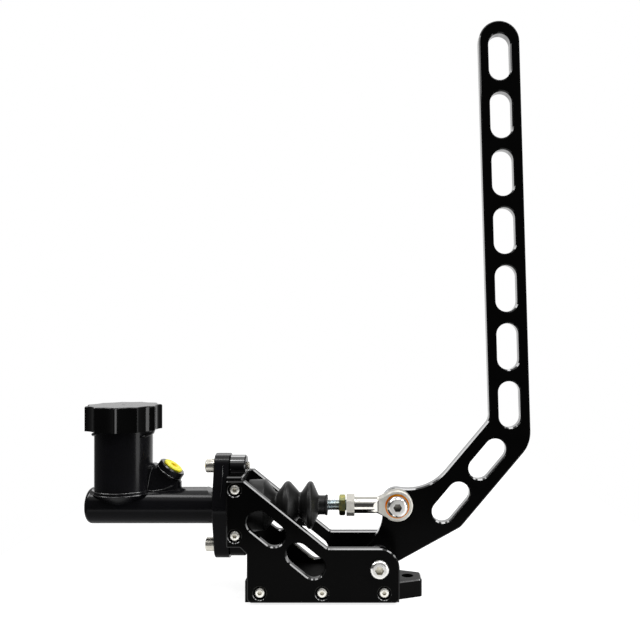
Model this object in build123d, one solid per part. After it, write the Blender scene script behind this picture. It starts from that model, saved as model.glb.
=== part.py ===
from build123d import *
import os
from math import asin, atan2, cos, degrees, hypot, radians, sin, sqrt, tan

# Upright hydraulic hand brake: a slotted hand lever between two side plates pushes the
# piston of a master cylinder that carries its own fluid reservoir.
# Millimetres. +X points from the cylinder to the lever, +Z is up, +Y is away from the
# side on which the rod end sits. The origin is on the floor, midway between the two
# mounting holes of the base block.

# Clearances
running_gap = 0.05
slide_gap = 0.1
face_gap = 0.15
soft_gap = 0.3
screw_gap = 0.25
ball_gap = 0.1
boss_gap = 1.7

# How far a cut runs past a face, and how far one solid runs into the next before they join
past = 1.0

# Base block
base_hole_spacing = 80.0
base_hole_diameter = 8.5
heel_rise = 2.7
heel_reach = 94.0
toe_step = 30.0
toe_ramp = 4.0
tongue_length = 17.0
tongue_root_width = 29.0
tongue_tip_width = 16.0
tongue_corner = 3.0
edge_break = 0.8

# Pivot of the lever
pivot_to_toe_hole = 21.0
pivot_height = 25.2
pivot_diameter = 8.0
bush_wall = 2.0
spacer_diameter = 16.0
bolt_tip = 2.4

# Side plates
plate_thickness = 6.0
plate_spacing = 40.0
plate_clearance = 1.5
plate_toe_radius = 14.0
plate_heel = 92.0
plate_bend = 36.0
tail_top_rise = 60.6
tail_flat = 12.4
tail_bottom_rise = 14.6
tail_chamfer = 4.7
tail_inset = 1.3
foot_corner = 3.5
tail_corner = 1.0
bend_corner = 4.0
notch_corner = 0.5
plate_edge = 0.8
window_radius = 8.0
window_length = 14.1
window_pitch = 35.3
window_inset = 16.2
window_start = 6.4

# Screws that hold the plates
plate_screw_diameter = 4.0
plate_screw_head = 7.6
plate_screw_head_height = 2.2
plate_screw_length = 14.0
plate_screw_hex = 2.5
counterbore_margin = 0.9
counterbore_depth = 2.6
foot_screw_share = 2 / 3
foot_screw_pitch = 43.2
foot_screw_toe = 3.4
tail_screw_spacing = 32.0
tail_screw_inset = 4.5

# Cylinder mounting block and flange
axis_rise = 38.5
block_back = 95.9
block_thickness = 11.6
block_height = 48.2
block_ear_radius = 8.0
block_ear_neck = 13.8
flange_bolt_spacing = 57.15
flange_bolt_diameter = 6.0
flange_bolt_head = 10.0
flange_bolt_head_height = 7.0
flange_bolt_reach = 2.3
flange_bolt_bevel = 0.6
flange_thickness = 10.8
flange_radius = 17.0
flange_ear_radius = 9.4
flange_edge = 1.2

# Master cylinder casting
tube_radius = 13.15
tube_length = 92.3
tube_end_round = 4.0
end_wall = 12.8
bore_diameter = 19.05
nose_radius = 15.0
nose_reach = 12.9
relief_length = 6.5
relief_depth = 6.0
reservoir_from_end = 25.2
reservoir_radius = 20.4
reservoir_wall = 2.5
reservoir_floor = 15.5
reservoir_top = 68.0
rim_base = 9.8
rim_thickness = 2.4
rim_lip = 0.9
saddle_depth = 7.5
feed_diameter = 3.0

# Outlet boss, which leans towards the flange
port_from_reservoir = 15.8
port_angle = 54.5
port_reach = 34.6
port_collar_radius = 10.0
port_collar_length = 4.8
port_groove = 0.8
web_width = 14.4
web_nose_width = 10.4
web_nose = 4.8
web_reach = 26.1
web_top = 30.7
web_round = 6.0
web_base = 4.0
port_bore_diameter = 9.0
port_bore_depth = 9.5
outlet_diameter = 3.0
plug_flange_radius = 7.3
plug_flange_thickness = 1.2
plug_length = 8.0
plug_edge = 0.6
plug_recess_radius = 2.3
plug_recess_depth = 3.0

# Reservoir cap and its seal
cap_radius = 27.3
cap_height = 17.7
cap_top = 3.5
cap_flutes = 11
cap_flute_radius = 16.0
cap_flute_depth = 3.1
cap_start_angle = -3.9
cap_thread_gap = 0.5
cap_edge = 1.1
cap_cusp = 0.6
vent_radius = 1.0
seal_thickness = 1.2
seal_cup_radius = 13.0
seal_cup_depth = 10.0

# Inside the bore
circlip_inset = 1.4
circlip_thickness = 1.2
circlip_groove = 0.6
circlip_width = 1.8
circlip_mouth = 6.0
stop_washer_thickness = 1.5
stop_washer_hole = 12.4
piston_length = 55.8
piston_spigot_radius = 4.0
piston_spigot_length = 5.0
piston_waist_radius = 7.0
front_land = 2.0
cup_width = 4.0
cup_depth = 3.0
rear_land = 8.3
end_seal_width = 3.5
lip_drop = 0.6
lip_width_share = 0.35
shoulder_width = 5.0
stem_bore_radius = 2.7
stem_bore_depth = 20.0
rod_seat_radius = 5.5
rod_seat_depth = 15.0
rod_seat_flare = 2.0
valve_lift = 0.7
valve_seal_radius = 3.6
valve_seal_thickness = 1.6
valve_flange_radius = 5.0
valve_flange_thickness = 1.2
stem_radius = 1.5
stem_head_radius = 2.3
stem_head_length = 2.0
spacer_wall = 1.0
retainer_length = 9.2
spring_wire = 1.6
spring_radius = 6.7
spring_turns = 7

# Push rod, rod end and boot
ball_lead = 13.4
rod_diameter = 8.0
rod_seat_gap = 0.4
rod_end_length = 36.7
rod_end_radius = 11.3
rod_end_width = 9.0
rod_end_shank = 12.0
rod_end_hex = 14.0
rod_end_hex_length = 5.8
rod_end_thread_depth = 20.0
rod_end_thread_spare = 1.0
rod_end_flare = 24.0
rod_end_ramp = 3.0
ball_width = 12.0
ball_diameter = 15.9
liner_diameter = 17.6
jam_nut_gap = 0.8
jam_nut_hex = 13.0
jam_nut_height = 4.5
jam_nut_turn = 22.0
boot_collar_radius = 18.5
boot_collar_start = 2.3
boot_collar_length = 11.6
boot_shoulder = 8.0
boot_peak_radius = 18.2
boot_second_peak_radius = 19.4
boot_valley_radius = 8.4
boot_neck_radius = 6.9
boot_neck_length = 4.3
boot_bead_radius = 7.6
boot_bead_length = 1.6
boot_wall = 2.4
boot_pitch = 17.1
boot_rise = 7.5
boot_fall = 6.5
boot_round = 1.6

# Hand lever
lever_thickness = 8.0
lever_edge = 0.9
grip_top_x = 89.0
grip_top_z = 378.9
grip_width = 30.0
grip_lean = 1.63
grip_slots = 7
grip_slot_first = 11.5
grip_slot_pitch = 42.75
slot_width = 16.0
slot_length = 34.2
arm_x = 80.3
arm_z = 70.9
arm_angle = 49.8
arm_width = 35.0
arm_slots = 2
arm_slot_pitch = 41.7
foot_angle = 28.8
pivot_boss_radius = 11.2
ball_boss_radius = 11.0
boss_blend = 29.0
arm_blend = 36.0
arm_blend_angle = 80.0
outer_bend = 25.0
inner_bend = 9.0
foot_bend = 11.0

# Button heads, and the bolts and nuts of the two pivots
crown_share = 0.3
rim_share = 0.15
dome_share = 0.16
socket_share = 0.6
button_head = 14.0
button_head_height = 4.4
bolt_hex = 5.0
nut_hex = 13.0
nut_bevel_share = 0.6
pivot_nut_height = 4.0
lock_nut_height = 8.0
washer_thickness = 1.6
washer_diameter = 16.0

# Places that follow from the sizes
pivot_x = base_hole_spacing / 2 - pivot_to_toe_hole
toe_thickness = pivot_height - pivot_boss_radius - boss_gap
heel_thickness = toe_thickness + heel_rise
foot_screw_rise = toe_thickness * foot_screw_share
axis_z = pivot_height + axis_rise
ball_x = pivot_x + ball_lead
plate_inner = plate_spacing / 2
plate_outer = plate_inner + plate_thickness
lever_near = ball_width / 2
lever_far = lever_near + lever_thickness
shank_radius = pivot_diameter / 2 - running_gap
block_right = pivot_x - block_back
block_left = block_right - block_thickness
flange_left = block_left - flange_thickness
tube_end = flange_left - tube_length
nose_end = block_right + nose_reach
bore_radius = bore_diameter / 2
bore_end = tube_end + end_wall
reservoir_x = tube_end + reservoir_from_end
port_x = reservoir_x + port_from_reservoir
circlip_right = nose_end - circlip_inset
circlip_left = circlip_right - circlip_thickness
washer_left = circlip_left - stop_washer_thickness
piston_rear = washer_left - slide_gap
piston_front = piston_rear - piston_length
rod_end_left = ball_x - rod_end_length
neck_top = axis_z + reservoir_top
seal_base = neck_top + slide_gap
cap_under = seal_base + seal_thickness + slide_gap

Node = {}


def outline(corners):
    """Closed face through (x, z, radius) corners: straight runs joined by arcs."""
    bends = []
    for i, (x, z, radius) in enumerate(corners):
        here = Vector(x, z)
        back = (Vector(*corners[i - 1][:2]) - here).normalized()
        ahead = (Vector(*corners[(i + 1) % len(corners)][:2]) - here).normalized()
        half = radians(back.get_angle(ahead)) / 2
        run = radius / tan(half)
        middle = here + (back + ahead).normalized() * (radius / sin(half) - radius)
        bends.append([here + back * run, middle, here + ahead * run])
    edges = []
    for i, (start, middle, end) in enumerate(bends):
        following = bends[(i + 1) % len(bends)]
        if (end - start).length > 0.001:
            edges.append(ThreePointArc(start, middle, end))
        if (following[0] - end).length > 0.001:
            edges.append(Line(end, following[0]))
        else:
            following[0] = end
    return make_face(edges)


def slab(face, low_y, high_y):
    """A face drawn in X and Z, as thick as from low_y to high_y."""
    return extrude(Plane.XZ.offset(-high_y) * face, amount=high_y - low_y)


def turned(points):
    """A solid turned about the X axis from (x, radius) points."""
    return revolve(make_face(Polyline(*points, close=True)), Axis.X)


def tube_piece(outer, inner, start, end):
    """A plain ring along X."""
    return turned([(start, inner), (end, inner), (end, outer), (start, outer)])


def rod_piece(radius, start, end):
    """A plain round bar along X."""
    return Pos((start + end) / 2, 0, 0) * Rot(0, 90, 0) * Cylinder(radius, end - start)


def hexagon_piece(across_flats, start, end, turn=30):
    """A hexagonal bar along X."""
    face = RegularPolygon(across_flats / sqrt(3), 6, rotation=turn)
    return extrude(Plane.YZ.offset(start) * face, amount=end - start)


def on_axis(piece):
    """Moves a piece drawn about the X axis up to the bore's axis."""
    return Pos(0, 0, axis_z) * piece


def across(piece, x, z):
    """Turns a piece drawn along +X so that it runs along +Y through (x, z)."""
    return Pos(x, 0, z) * Rot(0, 0, 90) * piece


def flat_edges(piece, axis):
    """The edges that bound the two flat faces at the ends of an axis."""
    faces = piece.faces().filter_by(axis).sort_by(axis)
    return faces[0].edges() + faces[-1].edges()


def chamfered_plate(piece, size):
    """Breaks every edge of the two broad faces of a plate in X and Z."""
    return chamfer(flat_edges(piece, Axis.Y), size)


def crossing(point_a, angle_a, point_b, angle_b):
    """Where two lines in a plane meet, each given by a point and an angle in degrees."""
    ax, az = cos(radians(angle_a)), sin(radians(angle_a))
    bx, bz = cos(radians(angle_b)), sin(radians(angle_b))
    dx, dz = point_b[0] - point_a[0], point_b[1] - point_a[1]
    along = (dx * bz - dz * bx) / (ax * bz - az * bx)
    return point_a[0] + ax * along, point_a[1] + az * along


def beside(point, angle, distance):
    """A point moved from another one in the direction of an angle in degrees."""
    return (point[0] + distance * cos(radians(angle)),
            point[1] + distance * sin(radians(angle)))


def boss_corners(centre, radius, first, last, count):
    """Corners whose fillets make one arc of a boss, clockwise between two angles."""
    step = (first - last) / count
    reach = radius / cos(radians(step / 2))
    return [(*beside(centre, first - step * (i + 0.5), reach), radius) for i in range(count)]


# Side plates

def plate_corners():
    tail = block_left + tail_inset
    foot = plate_clearance
    bend = (pivot_x - plate_bend, pivot_height + plate_toe_radius)
    toe = pivot_x + plate_toe_radius
    heel = pivot_x - plate_heel
    shelf = pivot_height + tail_bottom_rise
    top = pivot_height + tail_top_rise
    return [
        (tail, top, tail_corner),
        (tail + tail_flat, top, tail_corner),
        (*bend, bend_corner),
        (toe, bend[1], plate_toe_radius),
        (toe, foot, foot_corner),
        (heel, foot, foot_corner),
        (heel, shelf - tail_chamfer, notch_corner),
        (heel - tail_chamfer, shelf, notch_corner),
        (tail, shelf, tail_corner),
    ]


def windows():
    """The two slanted windows, which follow the plate's slope."""
    tail = block_left + tail_inset
    bend = (pivot_x - plate_bend, pivot_height + plate_toe_radius)
    shoulder = (tail + tail_flat, pivot_height + tail_top_rise)
    slope = degrees(atan2(shoulder[1] - bend[1], shoulder[0] - bend[0]))
    first = beside(bend, slope + 90, window_inset)
    faces = Sketch()
    for i in range(2):
        x, z = beside(first, slope, window_start + i * window_pitch)
        faces += Pos(x, z) * Rot(0, 0, slope) * SlotCenterToCenter(window_length, 2 * window_radius)
    return faces


def plate_screw_places():
    """The (x, z) places of the screws: three in the base block, two in the mounting block."""
    foot = [(pivot_x + foot_screw_toe - i * foot_screw_pitch, foot_screw_rise) for i in range(3)]
    tail_x = block_right - tail_screw_inset
    tail = [(tail_x, axis_z + side * tail_screw_spacing / 2) for side in (-1, 1)]
    return foot + tail


def side_plate(side):
    """One plate; side is -1 for the near one and 1 for the far one."""
    low, high = sorted((side * plate_inner, side * plate_outer))
    face = outline(plate_corners()) - windows()
    plate = chamfered_plate(slab(face, low, high), plate_edge)
    recess = plate_screw_head / 2 + counterbore_margin
    floor = plate_outer - counterbore_depth
    for x, z in plate_screw_places():
        plate -= across(rod_piece(plate_screw_diameter / 2 + screw_gap, -plate_outer, plate_outer), x, z)
        seat = turned([(floor, 0), (floor, recess), (plate_outer - plate_edge / 2, recess),
                       (plate_outer, recess + plate_edge / 2), (plate_outer, 0)])
        plate -= Pos(x, 0, z) * Rot(0, 0, side * 90) * seat
    hole = rod_piece(pivot_diameter / 2 + screw_gap, -plate_outer - past, plate_outer + past)
    return plate - across(hole, pivot_x, pivot_height)


def button_screw(diameter, head, head_height, length, hexagon):
    """A round-headed screw along +X, with the underside of its head at x = 0."""
    rim = (-head_height * rim_share, head / 2)
    crown = (-head_height, head * crown_share)
    dome = make_face([
        Polyline((-head_height, 0), (0, 0), (0, head / 2), rim),
        SagittaArc(rim, crown, -head_height * dome_share),
        Line(crown, (-head_height, 0)),
    ])
    screw = revolve(dome, Axis.X) + rod_piece(diameter / 2, 0, length)
    return screw - hexagon_piece(hexagon, -head_height, head_height * (socket_share - 1))


def plate_screws(side):
    """The five screws of one plate, as separate solids."""
    seat = plate_outer - counterbore_depth
    screw = button_screw(plate_screw_diameter, plate_screw_head, plate_screw_head_height,
                         plate_screw_length, plate_screw_hex)
    turn = Rot(0, 0, -side * 90)
    return [Pos(x, side * seat, z) * turn * screw for x, z in plate_screw_places()]


def screw_holes(piece, places):
    """Blind tapped holes for the plate screws, from both sides."""
    seat = plate_outer - counterbore_depth
    depth = seat - plate_screw_length - past
    for x, z in places:
        for side in (-1, 1):
            hole = rod_piece(plate_screw_diameter / 2, depth, plate_inner + past)
            piece -= Pos(x, 0, z) * Rot(0, 0, side * 90) * hole
    return piece


# Base block

def base_block():
    toe = pivot_x + plate_toe_radius
    tip = toe + tongue_length
    heel = pivot_x - heel_reach
    step = pivot_x - toe_step
    side_view = outline([
        (heel, 0, 0.0), (toe, 0, 0.0), (toe, toe_thickness, 0.0),
        (step, toe_thickness, 0.0), (step - toe_ramp, heel_thickness, 0.0), (heel, heel_thickness, 0.0),
    ])
    block = slab(side_view, -plate_inner, plate_inner)
    root, end = tongue_root_width / 2, tongue_tip_width / 2
    tongue = outline([
        (toe - past, -root, 0.0), (toe, -root, 0.0), (tip, -end, tongue_corner),
        (tip, end, tongue_corner), (toe, root, 0.0), (toe - past, root, 0.0),
    ])
    tongue = extrude(tongue, amount=toe_thickness)
    rim = tongue.edges().group_by(Axis.Z)[-1].filter_by_position(Axis.X, toe, tip)
    tongue = chamfer(rim, edge_break)
    block += tongue
    for x in (-base_hole_spacing / 2, base_hole_spacing / 2):
        block -= Pos(x, 0, 0) * Cylinder(base_hole_diameter / 2, 4 * heel_thickness)
    return screw_holes(block, plate_screw_places()[:3])


# Cylinder mounting block, between the tails of the plates

def ears(centre_radius, ear_radius):
    """The flange outline in Y and Z: a round centre with a bolt ear above and below."""
    edges = Circle(centre_radius).edges()
    for side in (-1, 1):
        edges += (Pos(0, side * flange_bolt_spacing / 2) * Circle(ear_radius)).edges()
    return make_hull(edges)


def cylinder_mount_block():
    face = Rectangle(plate_spacing, block_height)
    face = chamfer(face.vertices(), edge_break)
    face += Rectangle(block_ear_neck, flange_bolt_spacing)
    for side in (-1, 1):
        face += Pos(0, side * flange_bolt_spacing / 2) * Circle(block_ear_radius)
    block = extrude(Plane.YZ.offset(block_left) * face, amount=block_thickness)
    block = chamfer(flat_edges(block, Axis.X), edge_break)
    block -= rod_piece(nose_radius + face_gap, block_left - past, block_right + past)
    for side in (-1, 1):
        hole = rod_piece(flange_bolt_diameter / 2, block_left - past, block_right + past)
        block -= Pos(0, 0, side * flange_bolt_spacing / 2) * hole
    return screw_holes(on_axis(block), plate_screw_places()[3:])


def flange_bolts():
    length = flange_thickness + block_thickness + flange_bolt_reach
    head = rod_piece(flange_bolt_head / 2, -flange_bolt_head_height, 0)
    head = chamfer(head.faces().sort_by(Axis.X)[0].edges(), flange_bolt_bevel)
    shank = rod_piece(flange_bolt_diameter / 2, 0, length)
    shank = chamfer(shank.faces().sort_by(Axis.X)[-1].edges(), flange_bolt_bevel)
    floor = flange_bolt_head_height * (socket_share - 1)
    bolt = head + shank - hexagon_piece(bolt_hex, -flange_bolt_head_height, floor)
    return [Pos(flange_left, 0, axis_z + side * flange_bolt_spacing / 2) * bolt for side in (-1, 1)]


# Master cylinder

port_direction = (cos(radians(port_angle)), 0, sin(radians(port_angle)))


def along_port(piece):
    """Places a piece drawn along +X on the leaning axis of the outlet."""
    return Pos(port_x, 0, axis_z) * Rot(0, -port_angle, 0) * piece


def standing(piece, x):
    """Turns a piece drawn along +X so that it stands up, with x = 0 on the bore's axis."""
    return Pos(x, 0, axis_z) * Rot(0, -90, 0) * piece


def outlet_web():
    """The web under the outlet's collar, which joins tube and reservoir and ends in a round nose."""
    side, nose_side = web_width / 2, web_nose_width / 2
    left, right = port_x - side, port_x + web_reach
    plan = outline([(left, -side, 0.0), (right, -nose_side, web_nose),
                    (right, nose_side, web_nose), (left, side, 0.0)])
    web = extrude(Plane.XY.offset(web_base) * plan, amount=web_top - web_base)
    front = outline([(-side, 0.0, 0.0), (side, 0.0, 0.0), (side, web_top, web_round),
                     (-side, web_top, web_round)])
    web = Pos(0, 0, axis_z) * (web & extrude(Plane.YZ.offset(left - past) * front,
                                             amount=right - left + 2 * past))
    seat = port_reach - port_collar_length - port_groove
    web -= along_port(rod_piece(port_reach, seat, 2 * port_reach))
    rim = web.faces().filter_by(Plane(origin=(0, 0, 0), z_dir=port_direction)).edges()
    return chamfer(rim, port_groove / 2)


def cylinder_body():
    """One casting: tube, flange, nose, reservoir with its saddle and rim, and outlet boss."""
    tube = rod_piece(tube_radius, tube_end, flange_left + past)
    tube = fillet(tube.faces().sort_by(Axis.X)[0].edges(), tube_end_round)
    relief = slab(outline([
        (flange_left - relief_length, tube_radius, 0.0),
        (flange_left, tube_radius - relief_depth, 0.0),
        (flange_left, tube_radius + past, 0.0),
        (flange_left - relief_length, tube_radius + past, 0.0),
    ]), -tube_radius, tube_radius)
    tube -= relief
    flange = extrude(Plane.YZ.offset(flange_left) * ears(flange_radius, flange_ear_radius),
                     amount=flange_thickness)
    flange = fillet(flange.faces().sort_by(Axis.X)[0].edges(), flange_edge)
    for side in (-1, 1):
        hole = rod_piece(flange_bolt_diameter / 2 + screw_gap, flange_left - past, block_left + past)
        flange -= Pos(0, 0, side * flange_bolt_spacing / 2) * hole
    nose = rod_piece(nose_radius, block_left - past, nose_end)
    nose = chamfer(nose.faces().sort_by(Axis.X)[-1].edges(), edge_break)
    casting = on_axis(tube + flange + nose)

    rim = reservoir_radius + rim_lip
    casting += standing(turned([
        (rim_base - saddle_depth, 0), (rim_base - saddle_depth, tube_radius - past),
        (rim_base, rim), (rim_base + rim_thickness, rim),
        (rim_base + rim_thickness, reservoir_radius), (reservoir_top - edge_break, reservoir_radius),
        (reservoir_top, reservoir_radius - edge_break), (reservoir_top, 0),
    ]), reservoir_x)

    casting += outlet_web()
    collar_start = port_reach - port_collar_length
    waist = port_collar_radius - 2 * port_groove
    casting += along_port(turned([
        (collar_start - port_groove - past, 0), (collar_start - port_groove - past, waist),
        (collar_start, waist), (collar_start, port_collar_radius - port_groove),
        (collar_start + port_groove, port_collar_radius),
        (port_reach - port_groove, port_collar_radius),
        (port_reach, port_collar_radius - port_groove), (port_reach, 0),
    ]))

    inner = reservoir_radius - reservoir_wall
    casting -= standing(rod_piece(inner, reservoir_floor, reservoir_top + past), reservoir_x)
    casting -= on_axis(rod_piece(bore_radius, bore_end, nose_end + past))
    casting -= on_axis(rod_piece(bore_radius + circlip_groove + slide_gap, circlip_left, circlip_right))
    feed_x = reservoir_x - inner + feed_diameter / 2 + edge_break
    casting -= standing(rod_piece(feed_diameter / 2, 0, reservoir_floor + past), feed_x)
    casting -= on_axis(rod_piece(feed_diameter / 2, feed_x, bore_end + past))
    casting -= along_port(rod_piece(port_bore_diameter / 2, port_reach - port_bore_depth, port_reach + past))
    casting -= along_port(rod_piece(outlet_diameter / 2, bore_radius - past, port_reach))
    return casting


def port_plug():
    start = port_reach + slide_gap
    top = start + plug_flange_thickness
    body = rod_piece(port_bore_diameter / 2 - slide_gap, port_reach - plug_length, start)
    flange = turned([
        (start, 0), (start, plug_flange_radius), (top - plug_edge, plug_flange_radius),
        (top, plug_flange_radius - plug_edge), (top, 0),
    ])
    return along_port(body + flange - rod_piece(plug_recess_radius, top - plug_recess_depth, top + past))


# Cap and its seal

def reservoir_cap():
    face = Circle(cap_radius)
    flute_centre = cap_radius - cap_flute_depth + cap_flute_radius
    for i in range(cap_flutes):
        angle = cap_start_angle + i * 360 / cap_flutes
        face -= Rot(0, 0, angle) * Pos(flute_centre, 0) * Circle(cap_flute_radius)
    base = cap_under + cap_top - cap_height
    face = fillet(face.vertices(), cap_cusp)
    cap = extrude(Plane.XY.offset(base) * face, amount=cap_height)
    cap = fillet(cap.faces().sort_by(Axis.Z)[-1].edges(), cap_edge)
    top = base + cap_height
    cap -= Pos(0, 0, base - past) * Cylinder(reservoir_radius + cap_thread_gap, cap_height - cap_top + past,
                                             align=(Align.CENTER, Align.CENTER, Align.MIN))
    cap -= Pos(0, 0, top) * Sphere(vent_radius)
    return Pos(reservoir_x, 0, 0) * cap


def cap_seal():
    start = seal_base - axis_z
    return standing(turned([
        (start - seal_cup_depth, 0), (start - seal_cup_depth, seal_cup_radius),
        (start, seal_cup_radius), (start, reservoir_radius - face_gap),
        (start + seal_thickness, reservoir_radius - face_gap),
        (start + seal_thickness, seal_cup_radius - seal_thickness),
        (start - seal_cup_depth + seal_thickness, seal_cup_radius - seal_thickness),
        (start - seal_cup_depth + seal_thickness, 0),
    ]), reservoir_x)


# Piston, its seals and the valve in front of it

def piston():
    body = bore_radius - running_gap
    front, rear = piston_front, piston_rear
    cup_end = front + front_land + cup_width
    seal_start = rear - rear_land - end_seal_width
    blank = turned([
        (front - piston_spigot_length, 0), (front - piston_spigot_length, piston_spigot_radius),
        (front, piston_spigot_radius), (front, body), (front + front_land, body),
        (front + front_land, body - cup_depth), (cup_end, body - cup_depth),
        (cup_end, body), (cup_end + shoulder_width, body),
        (cup_end + shoulder_width, piston_waist_radius),
        (seal_start - shoulder_width, piston_waist_radius),
        (seal_start - shoulder_width, body), (seal_start, body),
        (seal_start, body - cup_depth), (seal_start + end_seal_width, body - cup_depth),
        (seal_start + end_seal_width, body), (rear, body), (rear, 0),
    ])
    spigot = front - piston_spigot_length
    blank -= rod_piece(stem_bore_radius, spigot - past, spigot + stem_bore_depth)
    blank -= turned([(rear - rod_seat_depth, 0), (rear - rod_seat_depth, rod_seat_radius),
                     (rear - rod_seat_flare, rod_seat_radius), (rear, rod_seat_radius + rod_seat_flare),
                     (rear + past, rod_seat_radius + rod_seat_flare), (rear + past, 0)])
    return on_axis(blank)


def piston_seal(start, width):
    """A lip seal in one of the piston's grooves."""
    outer = bore_radius - running_gap
    inner = outer - cup_depth
    return on_axis(turned([(start, inner), (start, outer), (start + width * lip_width_share, outer),
                           (start + width, outer - lip_drop), (start + width, inner)]))


def stop_washer():
    return on_axis(tube_piece(bore_radius - running_gap, stop_washer_hole / 2, washer_left, circlip_left))


def circlip():
    outer = bore_radius + circlip_groove
    ring = tube_piece(outer, outer - circlip_width, circlip_left, circlip_right)
    mouth = Pos(circlip_left, 0, -outer) * Box(circlip_mouth, circlip_mouth, circlip_mouth)
    return on_axis(ring - mouth)


def valve_stem():
    flange = bore_end + valve_lift + valve_seal_thickness
    neck = flange + valve_flange_thickness
    head = piston_front - retainer_length + spacer_wall + slide_gap
    return on_axis(turned([
        (flange, 0), (flange, valve_flange_radius), (neck, valve_flange_radius),
        (neck, stem_radius), (head, stem_radius), (head, stem_head_radius),
        (head + stem_head_length, stem_head_radius), (head + stem_head_length, 0),
    ]))


def valve_seal():
    start = bore_end + valve_lift
    return on_axis(rod_piece(valve_seal_radius, start, start + valve_seal_thickness))


def spacer_reach():
    return bore_end + valve_lift + valve_seal_thickness + valve_flange_thickness + face_gap + spacer_wall


def valve_spacer():
    outer = bore_radius - soft_gap
    reach = spacer_reach()
    return on_axis(turned([
        (bore_end, outer - spacer_wall), (bore_end, outer), (reach, outer),
        (reach, stem_radius + soft_gap), (reach - spacer_wall, stem_radius + soft_gap),
        (reach - spacer_wall, outer - spacer_wall),
    ]))


def spring_retainer():
    inner = piston_spigot_radius
    outer = inner + spacer_wall
    flange = bore_radius - soft_gap
    end = piston_front - retainer_length
    return on_axis(turned([
        (end, stem_radius + soft_gap), (end, outer), (piston_front - spacer_wall, outer),
        (piston_front - spacer_wall, flange), (piston_front, flange), (piston_front, inner),
        (end + spacer_wall, inner), (end + spacer_wall, stem_radius + soft_gap),
    ]))


def return_spring():
    start = spacer_reach() + spring_wire / 2 + slide_gap
    end = piston_front - spacer_wall - spring_wire / 2 - slide_gap
    pitch = (end - start) / spring_turns
    path = Helix(pitch, end - start, spring_radius, center=(start, 0, 0), direction=(1, 0, 0))
    section = Plane(path @ 0, z_dir=path % 0) * Circle(spring_wire / 2)
    return on_axis(sweep(section, path))


# Push rod, rod end and boot

def push_rod():
    tip = piston_rear - rod_seat_depth + rod_seat_gap
    radius = rod_diameter / 2
    end = rod_end_left + rod_end_thread_depth - rod_end_thread_spare
    return on_axis(rod_piece(radius, tip + radius, end) + Pos(tip + radius, 0, 0) * Sphere(radius))


def jam_nut():
    end = rod_end_left - jam_nut_gap
    nut = hexagon_piece(jam_nut_hex, end - jam_nut_height, end, turn=jam_nut_turn)
    nut &= bevelled_round(jam_nut_hex, end - jam_nut_height, end)
    return on_axis(nut - rod_piece(rod_diameter / 2, end - jam_nut_height - past, end + past))


def bevelled_round(across_flats, start, end):
    """The round bar with bevelled ends that trims the corners of a hexagonal nut."""
    corner = across_flats / sqrt(3)
    bevel = (corner - across_flats / 2) * nut_bevel_share
    return turned([(start, 0), (start, across_flats / 2), (start + bevel, corner),
                   (end - bevel, corner), (end, across_flats / 2), (end, 0)])


def rod_end_body():
    ring = across(rod_piece(rod_end_radius, -rod_end_width / 2, rod_end_width / 2), 0, 0)
    ring = chamfer(flat_edges(ring, Axis.Y), edge_break)
    hex_end = -rod_end_length + rod_end_hex_length
    shank, cheek = rod_end_shank / 2, rod_end_width / 2
    touch = beside((0, 0), 90 + rod_end_flare, rod_end_radius)
    flare = crossing(touch, rod_end_flare, (0, shank), 0)[0]
    neck = turned([(hex_end - past, 0), (hex_end - past, shank), (flare, shank), touch, (touch[0], 0)])
    cheeks = outline([
        (hex_end - past, -shank, 0.0), (flare - rod_end_ramp, -shank, 0.0), (flare, -cheek, 0.0),
        (0, -cheek, 0.0), (0, cheek, 0.0), (flare, cheek, 0.0),
        (flare - rod_end_ramp, shank, 0.0), (hex_end - past, shank, 0.0),
    ])
    neck &= extrude(Plane.XY.offset(-rod_end_radius) * cheeks, amount=2 * rod_end_radius)
    body = ring + neck + hexagon_piece(rod_end_hex, -rod_end_length, hex_end)
    body -= across(rod_piece(liner_diameter / 2, -rod_end_width, rod_end_width), 0, 0)
    body -= rod_piece(rod_diameter / 2, -rod_end_length - past, rod_end_thread_depth - rod_end_length)
    return Pos(ball_x, 0, axis_z) * body


def rod_end_liner():
    ring = rod_piece(liner_diameter / 2, -rod_end_width / 2, rod_end_width / 2)
    ring -= Sphere(ball_diameter / 2 + ball_gap)
    return across(ring, ball_x, axis_z)


def rod_end_ball():
    ball = Sphere(ball_diameter / 2) & rod_piece(ball_diameter, -ball_width / 2, ball_width / 2)
    return across(ball - rod_piece(pivot_diameter / 2, -ball_width, ball_width), ball_x, axis_z)


def dust_boot():
    """The rubber bellows: a collar on the cylinder's nose, two folds and a neck on the rod."""
    collar = block_right + boot_collar_start
    collar_end = collar + boot_collar_length
    valley = collar_end + boot_shoulder
    peak = valley + boot_rise
    neck = peak + boot_pitch + boot_fall
    bead = neck + boot_neck_length
    tip = bead + boot_bead_length
    inner_valley = boot_valley_radius - boot_wall
    inner_peak = boot_peak_radius - boot_wall
    rod = rod_diameter / 2 + soft_gap
    return on_axis(revolve(outline([
        (collar, boot_collar_radius, notch_corner), (collar_end, boot_collar_radius, notch_corner),
        (valley, boot_valley_radius, boot_round), (peak, boot_peak_radius, boot_round),
        (valley + boot_pitch, boot_valley_radius, boot_round),
        (peak + boot_pitch, boot_second_peak_radius, boot_round),
        (neck, boot_neck_radius, notch_corner), (bead, boot_neck_radius, 0.0),
        (bead, boot_bead_radius, 0.0), (tip, boot_bead_radius, 0.0), (tip, rod, 0.0),
        (neck, rod, notch_corner), (peak + boot_pitch, inner_peak, notch_corner),
        (valley + boot_pitch, inner_valley, boot_round), (peak, inner_peak, notch_corner),
        (valley, inner_valley, boot_round), (collar_end - past, nose_radius, notch_corner),
        (collar, nose_radius, 0.0),
    ]), Axis.X))


# Hand lever and what is pressed into it

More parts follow.
